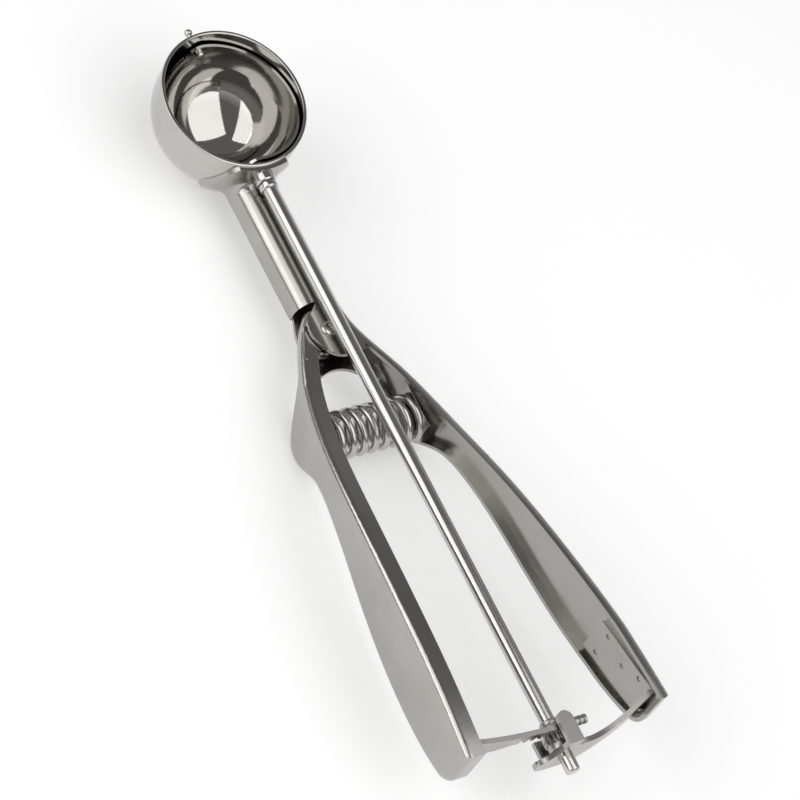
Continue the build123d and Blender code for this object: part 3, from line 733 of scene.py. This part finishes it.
class BuildDrive(Operator):
    """Dress the rack arm, its stop, the pinion and the bracket"""

    bl_idname = "scoop.build_drive"
    bl_label = "Rack, pinion and bracket"

    def execute(self, context):
        sizes = context.scene.scoop_sizes
        pieces = (
            ("rack_arm", LEVER, "bracket_steel", sizes.edge_round),
            ("rod_bracket", FIXED, "bracket_steel", sizes.edge_round),
            ("pinion", SCRAPER, "gear_steel", TOOTH_EDGE),
        )
        for node, body, slot, width in pieces:
            bm = solid_copy(node)
            round_edges(bm, width)
            place(bm, node + "_cut", body, slot, [node])
        low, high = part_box("rack_stop")
        centre = Vector(((low.x + high.x) / 2, low.y, (low.z + high.z) / 2))
        length, radius = high.y - low.y, (high.x - low.x) / 2
        groove_bottom = radius - 0.28 * MM
        land_edge, groove_edge = 0.06 * MM, 0.08 * MM
        # Three lands with a groove between each two, in shares of the stop's length.
        lands, groove_width = ((0.0, 0.25), (0.4, 0.6), (0.75, 1.0)), 0.15
        profile = [(0, 0), (0, groove_bottom)]
        for begin, end in lands:
            profile.append((begin * length + land_edge, radius))
            profile.append((end * length - land_edge, radius))
            if end < 1.0:
                profile.append((end * length + groove_edge, groove_bottom))
                profile.append(((end + groove_width) * length - groove_edge, groove_bottom))
        profile += [(length, groove_bottom), (length, 0)]
        bm = turned(profile, centre, ALONG_Y, STOP_STEPS)
        place(bm, "rack_stop_turned", LEVER, "gear_steel", ["rack_stop"])
        return {"FINISHED"}


# ---- Stage ---------------------------------------------------------------------------
# The camera's own right, up and back ways, and where it stands from the bowl's centre.
VIEW_RIGHT = Vector((-0.4333, -0.8241, 0.3649))
VIEW_UP = Vector((0.8262, -0.2014, 0.5262))
VIEW_BACK = Vector((-0.3602, 0.5294, 0.7681))
CAMERA_FROM_BOWL = Vector((-0.42493, 0.47756, 0.70113))
LENS, SENSOR = 157.5, 36.0  # millimetres
FLOOR_SIZE = 4.0
FLOOR_LIFT = 0.30  # light the floor gives off to the camera and to reflections
BOX_DISTANCE = 1.1
# Grey of the sky by height: dark at the horizon, a bright band over it, dim overhead.
SKY_LEVELS = ((0.0, 0.10), (0.09, 0.12), (0.16, 0.50), (0.42, 0.44), (0.62, 0.17))


def floor_paint(colour):
    """Plain matt paint, lifted for the camera, reflections and light that passes through."""
    material = bpy.data.materials.new("floor")
    material.use_nodes = True
    tree = material.node_tree
    shader = tree.nodes["Principled BSDF"]
    shader.inputs["Base Color"].default_value = (*colour, 1.0)
    shader.inputs["Roughness"].default_value = 1.0
    shader.inputs["Specular IOR Level"].default_value = 0.0
    rays = tree.nodes.new("ShaderNodeLightPath")
    seen = maths(tree, "MAXIMUM", rays.outputs["Is Camera Ray"], rays.outputs["Is Glossy Ray"])
    seen = maths(tree, "MAXIMUM", seen, rays.outputs["Is Transmission Ray"])
    shader.inputs["Emission Color"].default_value = (1, 1, 1, 1)
    lift = maths(tree, "MULTIPLY", seen, FLOOR_LIFT)
    tree.links.new(lift, shader.inputs["Emission Strength"])
    return material


def lay_floor(scene):
    """Pale floor under the scoop."""
    bm = bmesh.new()
    bmesh.ops.create_grid(bm, x_segments=2, y_segments=2, size=FLOOR_SIZE)
    mesh = bpy.data.meshes.new("floor")
    bm.to_mesh(mesh)
    bm.free()
    mesh.materials.append(floor_paint(scene.scoop_finish.floor_colour))
    floor = bpy.data.objects.new("floor", mesh)
    scene.collection.objects.link(floor)


def raise_sky(scene):
    """Grey sky that changes only with height."""
    world = bpy.data.worlds.new("studio")
    world.use_nodes = True
    scene.world = world
    tree = world.node_tree
    sky = tree.nodes["Background"]
    where = tree.nodes.new("ShaderNodeTexCoord")
    split = tree.nodes.new("ShaderNodeSeparateXYZ")
    tree.links.new(where.outputs["Generated"], split.inputs[0])
    ramp = tree.nodes.new("ShaderNodeValToRGB")
    while len(ramp.color_ramp.elements) < len(SKY_LEVELS):
        ramp.color_ramp.elements.new(0.5)
    for element, (position, level) in zip(ramp.color_ramp.elements, SKY_LEVELS):
        element.position = position
        element.color = (level, level, level, 1)
    tree.links.new(split.outputs["Z"], ramp.inputs["Fac"])
    tree.links.new(ramp.outputs["Color"], sky.inputs["Color"])
    sky.inputs["Strength"].default_value = 1.0


def soft_box(name, turn, lift, width, height, roll, power):
    """Area lamp that faces the scoop.

    It hangs at a turn to the right of the camera's way and a lift over it, and is rolled
    about its own middle; all three are in radians.
    """
    lamp = bpy.data.lights.new(name, "AREA")
    lamp.shape = "RECTANGLE"
    lamp.size = width
    lamp.size_y = height
    lamp.energy = power
    box = bpy.data.objects.new(name, lamp)
    bpy.context.scene.collection.objects.link(box)
    level = VIEW_BACK * math.cos(turn) + VIEW_RIGHT * math.sin(turn)
    way = level * math.cos(lift) + VIEW_UP * math.sin(lift)
    level_side = VIEW_RIGHT * math.cos(turn) - VIEW_BACK * math.sin(turn)
    side = level_side * math.cos(roll) + way.cross(level_side) * math.sin(roll)
    box.location = way * BOX_DISTANCE
    box.rotation_mode = "QUATERNION"
    box.rotation_quaternion = Matrix((side, way.cross(side), way)).transposed().to_quaternion()
    box.visible_camera = False


def set_camera(scene):
    """Long lens that looks down on the scoop from the moving handle's side."""
    lens = bpy.data.cameras.new("camera")
    lens.lens = LENS
    lens.sensor_width = SENSOR
    lens.clip_start = 0.05
    lens.clip_end = 20.0
    camera = bpy.data.objects.new("camera", lens)
    scene.collection.objects.link(camera)
    turn = Matrix((VIEW_RIGHT, VIEW_UP, VIEW_BACK)).transposed()
    camera.rotation_mode = "QUATERNION"
    camera.rotation_quaternion = turn.to_quaternion()
    camera.location = CAMERA_FROM_BOWL + BOWL_CENTRE
    scene.camera = camera


class BuildStage(Operator):
    """Lay the floor, raise the sky, hang the lamps and set the camera"""

    bl_idname = "scoop.build_stage"
    bl_label = "Stage"

    def execute(self, context):
        scene = context.scene
        scene.view_settings.view_transform = "Standard"
        lay_floor(scene)
        raise_sky(scene)
        soft_box("right box", turn=0.72, lift=0.14, width=1.2, height=1.7, roll=0.12, power=9.4)
        soft_box("left box", turn=-0.52, lift=0.23, width=0.57, height=1.7, roll=-0.12, power=4.4)
        soft_box("side box", turn=-0.90, lift=0.46, width=0.36, height=1.1, roll=0.0, power=2.4)
        set_camera(scene)
        return {"FINISHED"}


class ScoopPanel(Panel):
    """Lists the scoop's builders in the sidebar"""

    bl_idname = "VIEW3D_PT_scoop"
    bl_label = "Lever ice cream scoop"
    bl_space_type = "VIEW_3D"
    bl_region_type = "UI"
    bl_category = "Scoop"

    def draw(self, context):
        layout = self.layout
        for group in (context.scene.scoop_sizes, context.scene.scoop_finish):
            column = layout.column(align=True)
            for name in group.__annotations__:
                column.prop(group, name)
        for operator in BUILDERS:
            layout.operator(operator.bl_idname)


BUILDERS = (
    BuildBowl,
    BuildBlade,
    BuildRod,
    BuildBushing,
    BuildHandles,
    BuildHinge,
    BuildSpring,
    BuildSeats,
    BuildDrive,
    BuildStage,
)
CLASSES = (ScoopSizes, ScoopFinish, *BUILDERS, ScoopPanel)


def register():
    for item in CLASSES:
        bpy.utils.register_class(item)
    bpy.types.Scene.scoop_sizes = PointerProperty(type=ScoopSizes)
    bpy.types.Scene.scoop_finish = PointerProperty(type=ScoopFinish)


def unregister():
    del bpy.types.Scene.scoop_finish
    del bpy.types.Scene.scoop_sizes
    for item in reversed(CLASSES):
        bpy.utils.unregister_class(item)


def main():
    """Builds every piece and the stage."""
    for name in ("Cube", "Light", "Camera"):
        if name in bpy.data.objects:
            bpy.data.objects.remove(bpy.data.objects[name])
    register()
    for operator in BUILDERS:
        family, name = operator.bl_idname.split(".")
        getattr(getattr(bpy.ops, family), name)()


if __name__ == "__main__":
    main()
